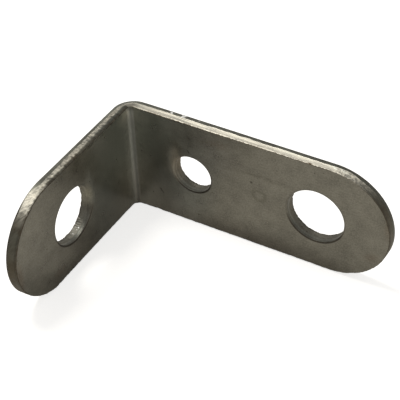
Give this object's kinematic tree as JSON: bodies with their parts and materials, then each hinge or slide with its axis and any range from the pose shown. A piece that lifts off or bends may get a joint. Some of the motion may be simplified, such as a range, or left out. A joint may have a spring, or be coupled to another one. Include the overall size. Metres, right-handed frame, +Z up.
{
  "type": "angle bracket",
  "caption": "Folded sheet-steel angle bracket with unequal round-ended legs, large holes near the tips and a smaller hole beside the bend.",
  "frame": {"origin": "bottom centre of the bounding box, on the surface that the bracket's lower cut edge stands on", "axes": "+X along the long leg towards its tip, +Y out of the long leg's back, +Z up along the bend; the short leg runs towards -Y"},
  "size_m": [0.038, 0.0273, 0.016],
  "materials": {
    "steel": "dull mill finish, punched and sheared edges left as cut"
  },
  "bodies": {
    "root": {"bracket": "steel"}
  },
  "joints": []
}
